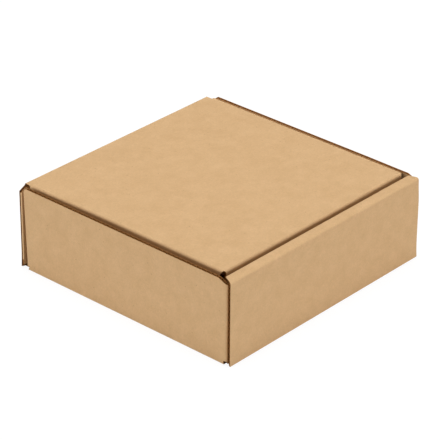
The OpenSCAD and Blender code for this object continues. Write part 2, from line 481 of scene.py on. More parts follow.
class SheetMesh:
    """Gathers leaves into one closed mesh, welded where the leaves meet."""

    def __init__(self, board: BoardSpec = BOARD) -> None:
        """Starts an empty sheet.

        Args:
            board: The make-up of the board.
        """
        self.board = board
        self.verts: list[Vector] = []
        self.deep: list[float] = []
        self.faces: list[tuple[dict[int, Flat], BoardFace]] = []
        self.flute_edges: list[FluteEdge] = []

    def depth_of(self, leaf: Leaf, p: Flat, q: Flat) -> float:
        """How deep the rim is open along an edge.

        Args:
            leaf: The leaf that the edge is on.
            p: One end of the edge.
            q: Its other end.

        Returns:
            The full depth across the flutes, and a shallow, uneven one along them.
        """
        openness = 1.0 - abs(direction(p, q).dot(leaf.flute_direction())) ** 2
        wave = noise.noise(leaf.point(p, self.board.thickness) * self.board.cut_waves)
        cut = self.board.cut_depth + self.board.cut_uneven * wave
        full = self.board.open_depth * leaf.open_share
        full = self.board.crushed_depth if leaf.crushed(p) else full
        return cut + (full - cut) * smooth(openness)

    def add(self, leaf: Leaf) -> None:
        """Adds a leaf: its two liners and its rims.

        Args:
            leaf: The leaf to add.
        """
        grid = [[(s, u) for u in leaf.columns(s)] for s in leaf.rows]
        cells: list[tuple[Flat, ...]] = []
        seen: dict[Edge, Flat | None] = {}
        for low, high in zip(grid, grid[1:]):
            for cell in zip(low, low[1:], high[1:], high):
                middle = (sum(p[0] for p in cell) / 4, sum(p[1] for p in cell) / 4)
                if leaf.missing(*middle):
                    continue
                cells.append(cell)
                for p, q in zip(cell, cell[1:] + cell[:1]):
                    key = (p, q) if p < q else (q, p)
                    seen[key] = None if key in seen else middle
        border = {key: mid for key, mid in seen.items() if mid is not None}
        kinds = {key: leaf.kind(*key) for key in border}
        rings = self.rings(leaf, border, kinds)
        ends = self.cap_ends(kinds)
        cache: dict[tuple[Flat, float], int] = {}

        def vert(flat: Flat, w: float, deep: float = 0.0) -> int:
            """Finds the vertex at a flat place and depth, or makes it.

            Args:
                flat: The flat place.
                w: Depth below the outer face, in mm.
                deep: How much painted shade it gets, from 0 to 1.

            Returns:
                The vertex's index.
            """
            key = (flat, w)
            if key not in cache:
                cache[key] = len(self.verts)
                self.verts.append(leaf.point(flat, w))
                self.deep.append(deep)
            return cache[key]

        def side(flat: Flat, kind: EdgeKind) -> list[tuple[int, Flat]]:
            """The rim's outline at one point, from the outer liner to the inner one.

            Args:
                flat: The flat point.
                kind: How the edge ends.

            Returns:
                The outline's vertices with their UVs.
            """
            t, liner = self.board.thickness, self.board.liner
            if kind is EdgeKind.RAW or (flat in rings and flat in ends):
                deep_flat = (flat[0] + rings[flat][0], flat[1] + rings[flat][1])
                # Painted shade: the rim's inner points darken with how deep the flutes stay open
                dark = min(1.0, math.hypot(*rings[flat]) / self.board.open_depth)
                near = liner + leaf.burr(flat)
                far = self.board.crushed_gap if leaf.crushed(flat) else t - liner
                spots = [(flat, 0.0, 0.0), (flat, near, 0.0), (deep_flat, near, dark)]
                spots += [(deep_flat, far, dark), (flat, far, 0.0), (flat, t, 0.0)]
            elif flat in ends:
                spots = [(flat, w, 0.0) for w in (0.0, liner, t - liner, t)]
            else:
                spots = [(flat, 0.0, 0.0), (flat, t, 0.0)]
            return [(vert(f, w, deep), leaf.blank(f)) for f, w, deep in spots]

        for cell in cells:
            for w in (0.0, self.board.thickness):
                face = {vert(p, w): leaf.blank(p) for p in cell}
                self.faces.append((face, BoardFace.LINER))
        for (p, q), kind in kinds.items():
            if kind is EdgeKind.JOINED:
                continue
            left, right = side(p, kind), side(q, kind)
            if kind is EdgeKind.CAP:
                self.faces.append((dict(left + right[::-1]), BoardFace.CORE))
                continue
            # Where the flutes are crushed, the last strip of the rim is the inner liner
            flush = leaf.crushed(p) and leaf.crushed(q)
            strips = list(zip(left, right, right[1:], left[1:]))
            for strip in strips:
                inner = flush and strip is strips[-1]
                self.faces.append((dict(strip), BoardFace.LINER if inner else BoardFace.CORE))
        self.follow_edges(leaf, border, kinds, rings)

    def rings(
        self,
        leaf: Leaf,
        border: dict[Edge, Flat],
        kinds: dict[Edge, EdgeKind],
    ) -> dict[Flat, Flat]:
        """Works out how far each raw rim point steps inwards on the flat leaf.

        Args:
            leaf: The leaf.
            border: The leaf's border edges, each with the middle of its cell.
            kinds: How each border edge ends.

        Returns:
            The inward step of each point on a raw edge.
        """
        touching: dict[Flat, list[tuple[EdgeKind, Vector, Vector, float]]] = {}
        for (p, q), mid in border.items():
            edge = direction(p, q)
            normal = Vector((-edge.y, edge.x))
            if normal.dot(Vector((mid[0] - p[0], mid[1] - p[1]))) < 0:
                normal = -normal
            depth = self.depth_of(leaf, p, q)
            for here, away in ((p, edge), (q, -edge)):
                touching.setdefault(here, []).append((kinds[(p, q)], away, normal, depth))
        pins = {(round(s, 3), round(u, 3)): step for (s, u), step in leaf.pins.items()}
        out: dict[Flat, Flat] = {}
        for flat, edges in touching.items():
            raw = [e for e in edges if e[0] is EdgeKind.RAW]
            if not raw:
                continue
            pin = pins.get((round(flat[0], 3), round(flat[1], 3)))
            if pin is not None:
                out[flat] = pin
                continue
            n1, d1 = raw[0][2], raw[0][3]
            if len(raw) > 1:
                n2, d2 = raw[1][2], raw[1][3]
            else:
                other = next(e for e in edges if e[0] is not EdgeKind.RAW)
                n2, d2 = Vector((-other[1].y, other[1].x)), 0.0
            cross = n1.x * n2.y - n1.y * n2.x
            if abs(cross) > CORNER:
                step = ((d1 * n2.y - d2 * n1.y) / cross, (d2 * n1.x - d1 * n2.x) / cross)
            else:
                middle = (n1 + n2).normalized() * (d1 + d2) / 2
                step = (middle.x, middle.y)
            out[flat] = step
        return out

    @staticmethod
    def cap_ends(kinds: dict[Edge, EdgeKind]) -> set[Flat]:
        """The end points of the flat caps.

        Args:
            kinds: How each border edge ends.

        Returns:
            The points where a row of caps stops.
        """
        count: dict[Flat, int] = {}
        for key, kind in kinds.items():
            if kind is EdgeKind.CAP:
                for flat in key:
                    count[flat] = count.get(flat, 0) + 1
        return {flat for flat, times in count.items() if times == 1}

    def follow_edges(
        self,
        leaf: Leaf,
        border: dict[Edge, Flat],
        kinds: dict[Edge, EdgeKind],
        rings: dict[Flat, Flat],
    ) -> None:
        """Chains the edges where open flutes show, for the wavy paper.

        Args:
            leaf: The leaf.
            border: Its border edges.
            kinds: How each border edge ends.
            rings: The inward step of each raw point.
        """
        limit = (self.board.open_depth * leaf.open_share + self.board.cut_depth) / 2
        links: dict[Flat, list[Flat]] = {}
        for p, q in border:
            whole = not (leaf.crushed(p) or leaf.crushed(q))
            if whole and kinds[(p, q)] is EdgeKind.RAW and self.depth_of(leaf, p, q) > limit:
                links.setdefault(p, []).append(q)
                links.setdefault(q, []).append(p)
        used: set[Flat] = set()
        starts = sorted(flat for flat, near in links.items() if len(near) == 1)
        for start in starts:
            if start in used:
                continue
            chain = [start]
            used.add(start)
            while True:
                ahead = [f for f in links[chain[-1]] if f not in used]
                if not ahead:
                    break
                chain.append(ahead[0])
                used.add(ahead[0])
            if len(chain) > 1:
                self.flute_edges.append(self.trace(leaf, chain, rings))

    def trace(self, leaf: Leaf, chain: list[Flat], rings: dict[Flat, Flat]) -> FluteEdge:
        """Turns a chain of flat points into the line of the wavy paper.

        Args:
            leaf: The leaf.
            chain: The raw edge's flat points, in order.
            rings: The inward step of each raw point.

        Returns:
            The line.
        """
        half = self.board.thickness / 2
        edge = FluteEdge()
        for flat in chain:
            step = rings[flat]
            inner = (flat[0] + step[0], flat[1] + step[1])
            here = leaf.point(flat, half)
            edge.points.append(here)
            edge.across.append((leaf.point(flat, half * 2) - leaf.point(flat, 0)).normalized())
            edge.inward.append(leaf.point(inner, half) - here)
            direction = leaf.flute_direction()
            edge.run.append((flat[0] * direction.y + flat[1] * direction.x) * MM)
            # Painted shade of the wave's inner end, by how deep it lies
            edge.dark.append(min(1.0, math.hypot(*step) / self.board.open_depth))
        return edge

    def build(self, name: str, materials: list[bpy.types.Material]) -> bpy.types.Object:
        """Makes the mesh object.

        Args:
            name: The piece's name.
            materials: The liner's and the core's materials.

        Returns:
            The closed, welded sheet.
        """
        bm = bmesh.new()
        # How much painted shade each point gets, read by the core's colour
        deep = bm.verts.layers.float.new("deep")
        uv_layer = bm.loops.layers.uv.new("blank")
        verts = []
        for co, value in zip(self.verts, self.deep):
            v = bm.verts.new(co)
            v[deep] = value
            verts.append(v)
        for corners, slot in self.faces:
            if len(corners) < 3:
                continue
            face = bm.faces.new([verts[i] for i in corners])
            face.material_index = slot.value
            for loop, uv in zip(face.loops, corners.values()):
                loop[uv_layer].uv = uv
        bmesh.ops.remove_doubles(bm, verts=bm.verts, dist=WELD)
        bmesh.ops.dissolve_degenerate(bm, dist=WELD / 2, edges=bm.edges)
        bmesh.ops.recalc_face_normals(bm, faces=bm.faces)
        loose = sum(1 for e in bm.edges if len(e.link_faces) != 2)
        LOG.info("%s: %d faces, %d edges not closed", name, len(bm.faces), loose)
        mesh = bpy.data.meshes.new(name)
        bm.to_mesh(mesh)
        bm.free()
        shade(mesh)
        for material in materials:
            mesh.materials.append(material)
        return place(name, mesh)


def add_node(
    tree: bpy.types.NodeTree, kind: str, settings: dict | None = None, **links: object
) -> bpy.types.Node:
    """Adds a node with its settings and links.

    Args:
        tree: The tree to add to.
        kind: The node's type.
        settings: Values of the node's own properties.
        **links: An input's name or number (as in_0), with a value, a socket, or a node
            whose first output is meant.

    Returns:
        The new node.
    """
    node = tree.nodes.new(kind)
    for key, value in (settings or {}).items():
        setattr(node, key, value)
    for key, value in links.items():
        name = key.removeprefix("in_")
        socket = node.inputs[int(name)] if name.isdigit() else node.inputs[name.replace("_", " ")]
        value = value.outputs[0] if isinstance(value, bpy.types.Node) else value
        if isinstance(value, bpy.types.NodeSocket):
            tree.links.new(value, socket)
        else:
            socket.default_value = value
    return node


def empty_tree(owner: bpy.types.ID) -> Callable[..., bpy.types.Node]:
    """Clears the nodes of a material or world, and gives the call that adds new ones."""
    owner.use_nodes = True
    owner.node_tree.nodes.clear()
    return partial(add_node, owner.node_tree)


def linear(hex_colour: str) -> tuple[float, float, float, float]:
    """Turns an sRGB hex colour into a linear one with full alpha."""
    values = [int(hex_colour[i : i + 2], 16) / 255 for i in (1, 3, 5)]
    r, g, b = [v / 12.92 if v <= 0.04045 else ((v + 0.055) / 1.055) ** 2.4 for v in values]
    return (r, g, b, 1.0)


@dataclass(frozen=True)
class KraftLiner:
    """Unbleached kraft liner: pressed paper of long wood fibres.

    It is matte, light brown, with a fine fibrous grain, cloudy mottling a few
    millimetres wide and a scatter of dark specks. The flutes press faintly through it.
    """

    name: str = "unbleached_kraft_liner"
    pale: str = "#ddb789"
    dark: str = "#cba475"
    speck: str = "#b08a60"
    roughness: float = 0.82
    cloud_mm: float = 7.5
    fibre_mm: float = 0.9
    fibre_dark: float = 0.925
    fibre_pale: float = 1.065
    fibre_relief_mm: float = 0.05
    speck_mm: float = 2.6
    speck_share: float = 0.22
    flute_relief_mm: float = 0.012

    def build(self, board: BoardSpec) -> bpy.types.Material:
        """Makes the material.

        Args:
            board: The board, whose flute pitch shows through.

        Returns:
            The liner's material.
        """
        material = bpy.data.materials.new(self.name)
        add = empty_tree(material)
        where = add("ShaderNodeTexCoord").outputs["Object"]
        # Clouds of the pulp, a few millimetres across
        clouds = add(NOISE, Vector=where, Scale=1000 / self.cloud_mm, Detail=3.0, Roughness=0.6)
        tone = add(MIX, COLOUR, in_0=clouds, in_6=linear(self.dark), in_7=linear(self.pale))
        # Fibres under a millimetre, drawn a little coarser than real ones so that they show
        fibres = add(
            NOISE, Vector=where, Scale=1000 / self.fibre_mm, Detail=4.0, Roughness=0.7,
            Distortion=0.6,
        )
        grain = add(
            RANGE, Value=fibres, From_Min=0.3, From_Max=0.7, To_Min=self.fibre_dark,
            To_Max=self.fibre_pale,
        )
        shaded = add(MIX, TINT, in_0=1.0, in_6=tone.outputs[2], in_7=grain)
        # Bark specks, a few to a square centimetre
        cells = add(
            "ShaderNodeTexVoronoi", Vector=where, Scale=1000 / self.speck_mm, Randomness=1.0
        )
        dots = add(RANGE, Value=cells, From_Min=0.05, From_Max=0.14, To_Min=1.0, To_Max=0.0)
        chance = add(
            MATHS, {"operation": "GREATER_THAN"}, in_0=cells.outputs["Color"],
            in_1=1.0 - self.speck_share,
        )
        specks = add(MATHS, TIMES, in_0=dots, in_1=chance)
        coloured = add(
            MIX, COLOUR, in_0=specks, in_6=shaded.outputs[2], in_7=linear(self.speck)
        )
        # The flutes below press through as faint ribs, across V of the blank
        blank = add("ShaderNodeUVMap", {"uv_map": "blank"})
        across = add("ShaderNodeSeparateXYZ", in_0=blank).outputs["Y"]
        turns = add(MATHS, TIMES, in_0=across, in_1=math.tau / (board.pitch * MM))
        ribs = add(MATHS, {"operation": "SINE"}, in_0=turns)
        relief = add(MATHS, TIMES, in_0=ribs, in_1=self.flute_relief_mm)
        rough = add(
            MATHS, {"operation": "MULTIPLY_ADD"}, in_0=fibres, in_1=self.fibre_relief_mm,
            in_2=relief,
        )
        bump = add("ShaderNodeBump", Height=rough, Distance=MM, Strength=1.0)
        shader = add(
            "ShaderNodeBsdfPrincipled", Base_Color=coloured.outputs[2], Normal=bump,
            Roughness=self.roughness, Specular_IOR_Level=0.3,
        )
        add("ShaderNodeOutputMaterial", Surface=shader)
        return material


@dataclass(frozen=True)
class FlutedCore:
    """Recycled fluting paper and die-cut board edges: darker and duller than the liner.

    The flutes go on as tubes beyond the depth that is built; their shade is painted, so the colour
    darkens inwards towards their ends.
    """

    name: str = "fluting_paper_and_cut_edge"
    edge: str = "#9b6836"
    # Painted shade: the near-black of the shaded inner ends of the open flutes
    inside: str = "#311b0b"
    roughness: float = 0.9
    fibre_mm: float = 0.6
    fibre_dark: float = 0.8
    fibre_pale: float = 1.12

    def build(self) -> bpy.types.Material:
        """Makes the material.

        Returns:
            The material of the middle paper and the cut edges.
        """
        material = bpy.data.materials.new(self.name)
        add = empty_tree(material)
        where = add("ShaderNodeTexCoord").outputs["Object"]
        # Torn fibres of the cut edge
        fibres = add(NOISE, Vector=where, Scale=1000 / self.fibre_mm, Detail=3.0, Roughness=0.7)
        grain = add(
            RANGE, Value=fibres, From_Min=0.3, From_Max=0.7, To_Min=self.fibre_dark,
            To_Max=self.fibre_pale,
        )
        # The sheet's own attribute says how deep a point lies between the liners, and so how much
        # painted shade it gets
        deep = add("ShaderNodeAttribute", {"attribute_type": "GEOMETRY", "attribute_name": "deep"})
        inwards = add(RANGE, Value=deep.outputs["Fac"], From_Min=0.05, From_Max=0.7)
        # Painted shade: the cut edge's colour turns near-black towards the flutes' inner ends
        tone = add(MIX, COLOUR, in_0=inwards, in_6=linear(self.edge), in_7=linear(self.inside))
        coloured = add(MIX, TINT, in_0=1.0, in_6=tone.outputs[2], in_7=grain)
        shader = add(
            "ShaderNodeBsdfPrincipled", Base_Color=coloured.outputs[2],
            Roughness=self.roughness, Specular_IOR_Level=0.2,
        )
        add("ShaderNodeOutputMaterial", Surface=shader)
        return material


def place(name: str, data: bpy.types.ID) -> bpy.types.Object:
    """Puts a new object with the given data into the scene."""
    obj = bpy.data.objects.new(name, data)
    bpy.context.scene.collection.objects.link(obj)
    return obj


def shade(mesh: bpy.types.Mesh) -> None:
    """Smooths a mesh's shading, but for its cut edges."""
    mesh.shade_smooth()
    mesh.set_sharp_from_angle(angle=SHARP)


class FluteWave:
    """The wavy middle paper at the open edges, made by geometry nodes."""

    def __init__(self, board: BoardSpec = BOARD, samples: int = 12) -> None:
        """Builds the node tree once.

        Args:
            board: The make-up of the board.
            samples: Points on one wave.
        """
        self.board = board
        self.samples = samples
        self.tree = bpy.data.node_groups.new("flute_wave", "GeometryNodeTree")
        self.sockets: dict[str, str] = {}
        self.fill_tree()

    def fill_tree(self) -> None:
        """Adds the inputs and nodes: resample, wave, push inwards, thicken."""
        face, add = self.tree.interface, partial(add_node, self.tree)
        face.new_socket("Geometry", in_out="INPUT", socket_type="NodeSocketGeometry")
        for name in ("pitch", "height", "paper", "step", "core"):
            kind = "NodeSocketMaterial" if name == "core" else "NodeSocketFloat"
            item = face.new_socket(name, in_out="INPUT", socket_type=kind)
            self.sockets[name] = item.identifier
        face.new_socket("Geometry", in_out="OUTPUT", socket_type="NodeSocketGeometry")
        given = add("NodeGroupInput").outputs
        # Attributes of the guide line, by their names
        run, dark, across, inward = (
            add("GeometryNodeInputNamedAttribute", {"data_type": kind}, Name=name)
            for name, kind in (
                ("run", "FLOAT"), ("dark", "FLOAT"),
                ("across", "FLOAT_VECTOR"), ("inward", "FLOAT_VECTOR"),
            )
        )
        scale = {"operation": "SCALE"}
        line = add("GeometryNodeMeshToCurve", Mesh=given["Geometry"])
        even = add(
            "GeometryNodeResampleCurve", {"mode": "LENGTH"}, Curve=line, Length=given["step"]
        )
        turns = add(MATHS, {"operation": "DIVIDE"}, in_0=run, in_1=given["pitch"])
        phase = add(MATHS, TIMES, in_0=turns, in_1=math.tau)
        wave = add(MATHS, {"operation": "SINE"}, in_0=phase)
        height = add(MATHS, TIMES, in_0=wave, in_1=given["height"])
        shift = add("ShaderNodeVectorMath", scale, in_0=across, Scale=height)
        waved = add("GeometryNodeSetPosition", Geometry=even, Offset=shift)
        edges = add("GeometryNodeCurveToMesh", Curve=waved)
        band = add("GeometryNodeExtrudeMesh", {"mode": "EDGES"}, Mesh=edges, Offset_Scale=0.0)
        pushed = add(
            "GeometryNodeSetPosition", Geometry=band, Selection=band.outputs["Top"],
            Offset=inward,
        )
        # Painted shade: the wave's inner end gets its darkness, which the core's colour reads
        marked = add(
            "GeometryNodeStoreNamedAttribute", {"data_type": "FLOAT", "domain": "POINT"},
            Geometry=pushed, Selection=band.outputs["Top"], Name="deep", Value=dark,
        )
        # The paper is thickened to both sides of the wave
        half = add(MATHS, TIMES, in_0=given["paper"], in_1=-0.5)
        normal = add("GeometryNodeInputNormal")
        back = add("ShaderNodeVectorMath", scale, in_0=normal, Scale=half)
        centred = add("GeometryNodeSetPosition", Geometry=marked, Offset=back)
        thick = add(
            "GeometryNodeExtrudeMesh", {"mode": "FACES"}, Mesh=centred,
            Offset_Scale=given["paper"], Individual=False,
        )
        under = add("GeometryNodeFlipFaces", Mesh=centred)
        joined = add("GeometryNodeJoinGeometry")
        for shell in (thick, under):
            self.tree.links.new(shell.outputs[0], joined.inputs[0])
        closed = add("GeometryNodeMergeByDistance", Geometry=joined, Distance=WELD)
        real = add("GeometryNodeRealizeInstances", Geometry=closed)
        dressed = add("GeometryNodeSetMaterial", Geometry=real, Material=given["core"])
        add("NodeGroupOutput", Geometry=dressed)

    def build(
        self, name: str, edges: list[FluteEdge], material: bpy.types.Material
    ) -> bpy.types.Object:
        """Runs the nodes on a set of edges.

        Args:
            name: The piece's name.
            edges: The edges where open flutes show.
            material: The core's material.

        Returns:
            A plain mesh object of the wavy paper.
        """
        points = [p for edge in edges for p in edge.points]
        lines: list[tuple[int, int]] = []
        first = 0
        for edge in edges:
            last = first + len(edge.points) - 1
            lines += [(i, i + 1) for i in range(first, last)]
            first = last + 1
        guide = bpy.data.meshes.new(name + "_guide")
        guide.from_pydata(points, lines, [])
        for label in ("across", "inward"):
            layer = guide.attributes.new(label, "FLOAT_VECTOR", "POINT")
            values = [c for edge in edges for v in getattr(edge, label) for c in v]
            layer.data.foreach_set("vector", values)
        for label in ("run", "dark"):
            layer = guide.attributes.new(label, "FLOAT", "POINT")
            layer.data.foreach_set("value", [v for edge in edges for v in getattr(edge, label)])
        holder = place(name + "_guide", guide)
        modifier = holder.modifiers.new("flutes", "NODES")
        modifier.node_group = self.tree
        board = self.board
        given = {
            "pitch": board.pitch * MM,
            "height": (board.thickness / 2 - board.liner - board.paper / 2) * MM,
            "paper": board.paper * MM,
            "step": board.pitch * MM / self.samples,
            "core": material,
        }
        for label, value in given.items():
            modifier[self.sockets[label]] = value
        graph = bpy.context.evaluated_depsgraph_get()
        mesh = bpy.data.meshes.new_from_object(holder.evaluated_get(graph), depsgraph=graph)
        mesh.name = name
        shade(mesh)
        bpy.data.objects.remove(holder)
        bpy.data.meshes.remove(guide)
        return place(name, mesh)


def join(target: bpy.types.Object, other: bpy.types.Object) -> bpy.types.Object:
    """Joins the wavy paper into the sheet that it stands in.

    Args:
        target: The sheet; its mesh is changed.
        other: The wavy paper, which is removed.

    Returns:
        The sheet.
    """
    bm = bmesh.new()
    bm.from_mesh(target.data)
    before = len(bm.faces)
    bm.from_mesh(other.data)
    bm.faces.ensure_lookup_table()
    for face in bm.faces[before:]:
        face.material_index = BoardFace.CORE.value
    bm.to_mesh(target.data)
    bm.free()
    bpy.data.objects.remove(other)
    return target


@dataclass
class PieceMaker:
    """Turns leaves of board into pieces.

    Attributes:
        wave: The maker of the wavy paper.
        materials: The liner's and the core's materials.
    """

    wave: FluteWave
    materials: list[bpy.types.Material]

    def make(self, sheet: str, flutes: str, leaves: list[Leaf]) -> list[bpy.types.Object]:
        """Builds a sheet and the wavy paper in its open edges.

        Args:
            sheet: The sheet's name.
            flutes: The wavy paper's name.
            leaves: The leaves that the sheet is folded from.

        Returns:
            The sheet and the wavy paper.
        """
        mesh = SheetMesh()
        for leaf in leaves:
            mesh.add(leaf)
        body = mesh.build(sheet, self.materials)
        core = self.materials[BoardFace.CORE.value]
        return [body, self.wave.build(flutes, mesh.flute_edges, core)]


@dataclass(frozen=True)
class Handling:
    """The slight hollows and waves of handled board, always inwards.

    Attributes:
        top_sag: How far the lid's panel sags, in mm.
        side_dent: How far the side walls are hollow.
        end_dent: How far the front and back walls are hollow.
        top_from: Where the top's share starts, in mm from the ground.
        side_from: Where the side walls' share starts, from the middle.
        end_from: Where the front and back walls' share starts, from the middle.
        ease: Over how many mm each share sets in.
        waves: Waves to a millimetre.
        seed: Where in the noise the box lies.
    """

    top_sag: float = 0.35
    side_dent: float = 0.3
    end_dent: float = 0.25
    top_from: float = 40.0
    side_from: float = 66.0
    end_from: float = 64.0
    ease: float = 6.0
    waves: float = 0.022
    seed: Point = (3.1, 7.7, 1.9)

    def settle(self, obj: bpy.types.Object) -> None:
        """Moves a piece's vertices.

        Args:
            obj: The piece; its mesh is changed.
        """
        for vertex in obj.data.vertices:
            p = vertex.co / MM
            slow = 0.5 + 0.5 * noise.noise(p * self.waves + Vector(self.seed))
            along_x = max(0.0, 1.0 - (p.x / BOX.side) ** 2)
            along_y = max(0.0, 1.0 - (p.y / BOX.back) ** 2)
            tall = slow * max(0.0, 1.0 - ((p.z - BOX.top / 2) / (BOX.top / 2)) ** 2)
            on_top = smooth((p.z - self.top_from) / self.ease)
            on_side = smooth((abs(p.x) - self.side_from) / self.ease)
            on_end = smooth((abs(p.y) - self.end_from) / self.ease)
            x = p.x - math.copysign(self.side_dent * tall * on_side * along_y, p.x)
            y = p.y - math.copysign(self.end_dent * tall * on_end * along_x, p.y)
            z = p.z - self.top_sag * slow * along_x * along_y * on_top
            x = min(BOX.side, max(-BOX.side, x))
            vertex.co = Vector((x, y, min(BOX.top, z))) * MM


def drawn_in(depth: float, full: float, slant: float, corner: float) -> float:
    """How far a tuck flap's end is drawn in at a depth below its fold.

    Args:
        depth: Depth below the fold.
        full: The flap's whole depth.
        slant: Slant of its end.
        corner: Radius of its lower corner.

    Returns:
        The distance from the fold's end, in mm.
    """
    straight = full - corner
    if depth <= straight:
        return slant * max(0.0, depth) / straight
    over = min(1.0, (depth - straight) / corner)
    return slant + corner * (1.0 - math.sqrt(max(0.0, 1.0 - over * over)))


@dataclass
class Tray:
    """The box's bottom, walls, roll-over and corner flaps."""

    board: BoardSpec = BOARD
    box: BoxSizes = BOX
    step: float = 4.4
    # The hinge crease's rows, and the short stretch where it leaves the lid's outline
    hinge_step: float = 0.5
    hinge_lead: float = 0.02
    # From here out, the strip's columns follow its slanted ends
    squeeze_from: float = 58.0
    squeeze_step: float = 4.6
    tongue_columns: tuple[float, ...] = (0.5, 1.2)
    wall_columns: int = 11
    # Where the left rear corner's lean sets in, and how far from the side it is full
    lean_x: float = 30.4
    lean_y: float = 45.0
    lean_full: float = 4.0
    # The last stretch of the hinge crease, where the flutes' ends are crushed
    hinge_crushed: float = 1.0

    def __post_init__(self) -> None:
        """Draws the path of the long strip, from the hinge to the lock tabs."""
        b = self.box
        self.path = FoldPath(
            Plane.YZ,
            (b.lid_back, b.top),
            0.0,
            [
                Run(b.back - b.hinge_crease - b.lid_back),
                Bend(b.hinge_crease),
                Run(b.top - b.hinge_crease - b.foot_crease),
                Bend(b.foot_crease),
                Run(2 * (b.back - b.foot_crease)),
                Bend(b.foot_crease),
                Run(b.top - b.foot_crease - b.roll_front),
                Bend(b.roll_front),
                Run(b.roll_width - b.roll_front - b.roll_back),
                Bend(b.roll_back),
                Run(b.top - b.roll_back - b.tab_end),
            ],
        )
        stops = self.path.stops
        self.hinge_end = stops[2] + (b.top - b.hinge_crease - b.hinge_start)
        self.panel_top = stops[10]
        self.foot = stops[11] - (b.flap_foot - b.tab_end)
        self.slot = (
            b.inner_front - self.board.thickness - b.slot_gap, b.inner_front + b.slot_gap
        )

    def bottom_at(self, y: float) -> float:
        """The path's station at a place on the bottom panel."""
        return self.path.stops[4] + self.box.back - self.box.foot_crease - y

    def wall_stations(self) -> list[float]:
        """Stations in Y that the bottom, its side folds and the side walls share."""
        b = self.box
        slopes = [b.flap_in - b.back + b.front_slope, b.back - b.flap_in - b.back_slope]
        inside = [v for v in (*self.slot, *slopes) if -b.wall_end < v < b.wall_back]
        return merged(spread(-b.wall_end, b.wall_back, self.step), inside)

    def strip_ends(self, s: float) -> Flat:
        """The strip's left and right end at a station.

        Args:
            s: The station along the path, in mm.

        Returns:
            Both ends in X, in mm.
        """
        b, stops = self.box, self.path.stops
        y, z = self.path.at(s, 0.0, 0.0).yz
        if s < stops[3]:
            return self.back_ends(s, z)
        if s <= stops[6]:
            turn = min(QUARTER, (s - stops[3]) / b.foot_crease, (stops[6] - s) / b.foot_crease)
            half = b.side - b.inset * (1 - math.cos(turn))
            return (-half, half)
        if s <= self.panel_top:
            share = max(0.0, y - b.inner_front + b.roll_slant) / b.roll_slant
            lean = b.front_lean * smooth((z - b.lean_from) / b.lean_rise)
            short = b.front_short * smooth(z / b.end_rise) + lean
            right = max(short, b.roll_cut * share + short * (1.0 - share))
            return (b.roll_cut * (y + b.back) / b.roll_width - b.side, b.side - right)
        half = b.side - b.roll_cut
        half += min(1.0, (s - self.panel_top) / b.roll_cut) * (b.inner_side - half)
        return (-half, half)

    def back_ends(self, s: float, z: float) -> Flat:
        """The same on the hinge crease and the back wall.

        Args:
            s: The station along the path, in mm.
            z: Its height above the ground.

        Returns:
            Both ends in X, in mm.
        """
        b = self.box
        if z > b.hinge_high:
            share = smooth(s / self.hinge_lead)
            left = b.lid_left + b.lid_inset - b.skew
            right = b.lid_right - b.lid_inset
            out = -b.hinge_half - b.tongue_out * (1.0 - smooth((s - b.tongue) / self.hinge_step))
            return (left + share * (out - left), right + share * (b.hinge_half - right))
        share = clamp((b.hinge_high - z) / (b.hinge_high - b.hinge_low))
        short = b.back_short * smooth(z / b.end_rise)
        left, right = (b.hinge_half + share * (b.side - v - b.hinge_half) for v in (short, 0.0))
        return (-left, right)

    def strip_columns(self, s: float) -> list[float]:
        """The stations across the strip, drawn in beside narrower rows.

        Args:
            s: The station along the path, in mm.

        Returns:
            The places in X, rising.
        """
        b = self.box
        tab = [b.tab_near - b.slot_gap, b.tab_near, b.tab_far, b.tab_far + b.slot_gap]
        half = merged(
            tab,
            spread(tab[1], tab[2], self.step),
            spread(tab[3], self.squeeze_from, self.step),
            spread(self.squeeze_from, b.side, self.squeeze_step),
        )
        inner = spread(-tab[0], tab[0], self.step)
        # Two more columns by the left end, for the bent tongue
        tongue = [v - b.side for v in self.tongue_columns]
        left, right = self.strip_ends(s)
        out = []
        for x in merged([-v for v in half], tongue, inner, half):
            if abs(x) > self.squeeze_from:
                end = right if x > 0 else -left
                share = (abs(x) - self.squeeze_from) / (b.side - self.squeeze_from)
                x = math.copysign(self.squeeze_from + share * (end - self.squeeze_from), x)
            out.append(x)
        return out

    def cut_out(self, s: float, x: float) -> bool:
        """Whether the board is cut away: the two slots, and beside the lock tabs.

        Args:
            s: The station along the path, in mm.
            x: The place across the strip.

        Returns:
            Whether nothing is there.
        """
        b = self.box
        if s > self.foot:
            return not b.tab_near < abs(x) < b.tab_far
        in_slot = self.bottom_at(self.slot[1]) < s < self.bottom_at(self.slot[0])
        return in_slot and b.tab_near - b.slot_gap < abs(x) < b.tab_far + b.slot_gap

    def crushed_pins(self) -> dict[Flat, Flat]:
        """The inward steps where the back wall meets the hinge crease."""
        crushed = self.board.crushed_depth
        ends = self.strip_ends(self.hinge_end)
        return {(self.hinge_end, x): (0.0, math.copysign(crushed, -x)) for x in ends}

    def strip(self) -> Leaf:
        """The long strip: back wall, bottom, double front wall and lock tabs.

        Returns:
            The leaf.
        """
        b, path = self.box, self.path
        deep, cut = self.board.open_depth, self.board.cut_depth
        edge = b.side - b.inset
        stations = [self.bottom_at(y) for y in self.wall_stations()]
        rows = [s for s in path.rows(self.step) if s > self.hinge_end + self.hinge_step]
        rows = [s for s in rows if not path.stops[4] + TOUCH < s < path.stops[5] - TOUCH]
        turn = [self.panel_top + b.roll_cut, self.foot]
        rows = merged([self.hinge_end], rows, stations, turn)
        front, back = self.bottom_at(-b.wall_end), self.bottom_at(b.wall_back)
        pins = self.crushed_pins()
        for side in (-1, 1):
            pins[(front, side * edge)] = (-cut, -side * deep)
            pins[(back, side * edge)] = (cut, -side * deep)
        return Leaf(
            path, rows, self.strip_columns, FluteRun.ALONG_FOLDS, pins,
            joined=lambda low, high: (
                same(abs(low[1]), edge) and same(abs(high[1]), edge)
                and back - TOUCH < low[0] and high[0] < front + TOUCH
            ),
            capped=lambda low, high: high[0] < self.hinge_end + TOUCH,
            missing=self.cut_out,
            crushed=lambda p: p[0] < path.stops[3],
        )

